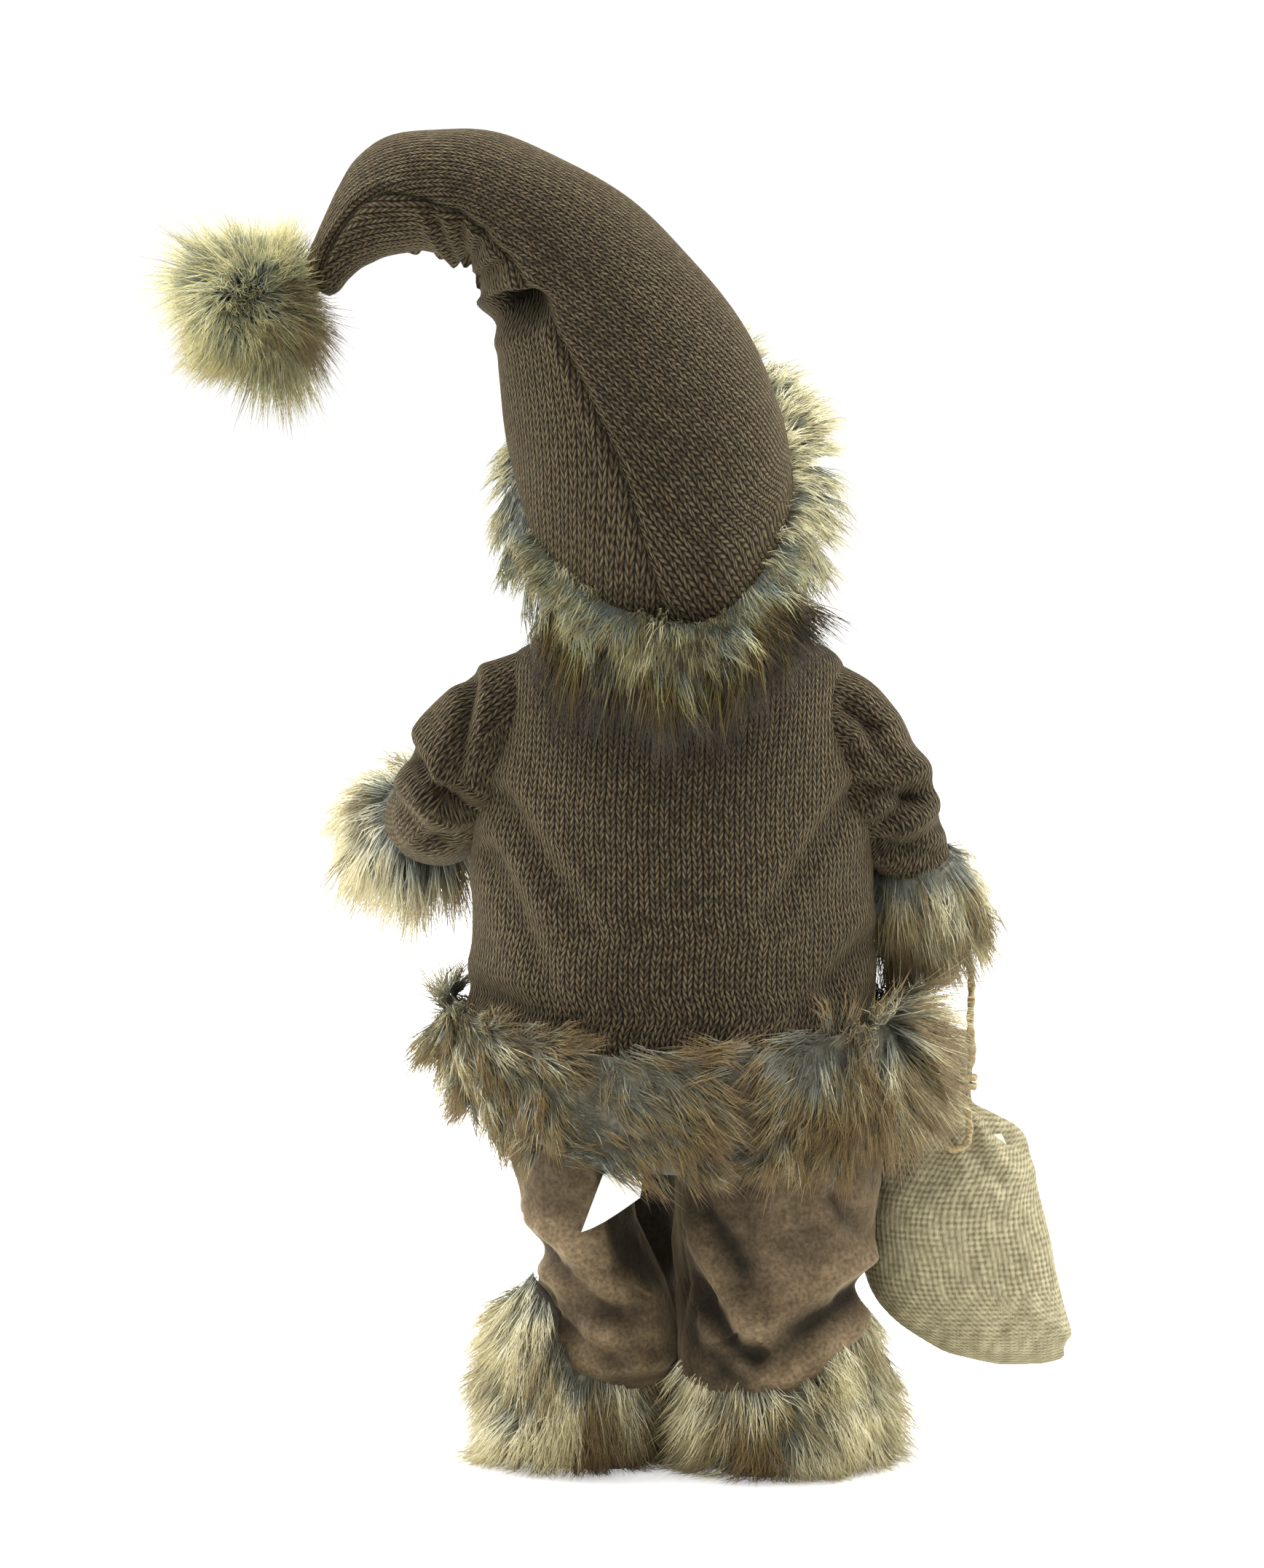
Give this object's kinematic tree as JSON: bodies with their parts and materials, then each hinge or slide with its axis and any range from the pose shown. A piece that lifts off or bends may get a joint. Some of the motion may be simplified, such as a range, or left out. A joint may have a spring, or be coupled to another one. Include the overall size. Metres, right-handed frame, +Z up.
{
  "type": "christmas gnome figurine",
  "caption": "Standing stuffed gnome doll in a long knitted hat with a pom-pom, knitted coat with mottled fur trim, velour trousers and fur boots, with a burlap sack hanging from its hand",
  "frame": {"origin": "on the floor under the middle of the doll's box, seen from above", "axes": "+Z up; the doll faces -Y; its left side is +X"},
  "size_m": [0.3454, 0.174, 0.5128],
  "materials": {
    "wool_knit": "matte",
    "faux_fur": "matte",
    "velour": "matte",
    "burlap": "matte",
    "jute_twine": "matte",
    "suede": "matte",
    "rubber_sole": "matte",
    "beech": "satin",
    "bagged_sand": "matte",
    "calico_stuffing": "matte",
    "steel_wire": "satin",
    "skin_felt": "matte",
    "glass_bead": "gloss",
    "satin_label": "satin"
  },
  "bodies": {
    "doll": {"left_sole": "rubber_sole", "right_sole": "rubber_sole", "left_boot": "suede", "right_boot": "suede", "left_boot_fur": "faux_fur", "right_boot_fur": "faux_fur", "left_leg_dowel": "beech", "right_leg_dowel": "beech", "left_trouser_leg": "velour", "right_trouser_leg": "velour", "trouser_seat": "velour", "hip_board": "beech", "sand_bag": "bagged_sand", "torso": "calico_stuffing", "neck_dowel": "beech", "neck_disc": "calico_stuffing", "coat": "wool_knit", "coat_front_band": "wool_knit", "coat_button_low": "beech", "coat_button_middle": "beech", "coat_button_high": "beech", "hem_fur_left": "faux_fur", "hem_fur_right": "faux_fur", "care_label": "satin_label"},
    "head": {"head": "skin_felt", "left_eye": "glass_bead", "right_eye": "glass_bead", "nose": "skin_felt", "moustache": "faux_fur", "beard": "faux_fur", "hat_crown": "wool_knit", "hat_fur_brim": "faux_fur"},
    "hat_tail": {"hat_tail": "wool_knit", "hat_tail_wire": "steel_wire"},
    "pompom": {"pompom": "faux_fur", "pompom_shank": "jute_twine"},
    "left_arm": {"left_sleeve": "wool_knit", "left_arm_wire": "steel_wire", "left_cuff_fur": "faux_fur", "left_mitten": "velour"},
    "right_arm": {"right_sleeve": "wool_knit", "right_arm_wire": "steel_wire", "right_cuff_fur": "faux_fur", "right_mitten": "velour"},
    "sack_twine": {"hand_twine": "jute_twine"},
    "sack": {"sack_cloth": "burlap", "sack_filling": "calico_stuffing", "sack_tie": "jute_twine", "sack_bow": "jute_twine"}
  },
  "joints": [
    {"name": "head_turn", "type": "hinge", "parent": "doll", "child": "head", "pos_m": [-0.01822, 0.00624, 0.309], "axis": [0, 0, 1], "range_deg": [-35, 35]},
    {"name": "hat_tail_bend", "type": "hinge", "parent": "head", "child": "hat_tail", "pos_m": [0.05378, 0.01224, 0.4885], "axis": [0, 1, 0], "range_deg": [-15, 15]},
    {"name": "pompom_swing", "type": "hinge", "parent": "hat_tail", "child": "pompom", "pos_m": [0.1157, 0.00707, 0.45682], "axis": [0, 1, 0], "range_deg": [-8, 30]},
    {"name": "left_shoulder", "type": "hinge", "parent": "doll", "child": "left_arm", "pos_m": [0.0498, 0.00624, 0.288], "axis": [-1, 0, 0], "range_deg": [-20, 40]},
    {"name": "right_shoulder", "type": "hinge", "parent": "doll", "child": "right_arm", "pos_m": [-0.08624, 0.00624, 0.288], "axis": [-1, 0, 0], "range_deg": [-8, 35]},
    {"name": "sack_twine_swing", "type": "hinge", "parent": "right_arm", "child": "sack_twine", "pos_m": [-0.12618, -0.01232, 0.19537], "axis": [-1, 0, 0], "range_deg": [-8, 25]},
    {"name": "sack_swing", "type": "hinge", "parent": "sack_twine", "child": "sack", "pos_m": [-0.12818, -0.01232, 0.13637], "axis": [0, 1, 0], "range_deg": [-3, 8]}
  ]
}
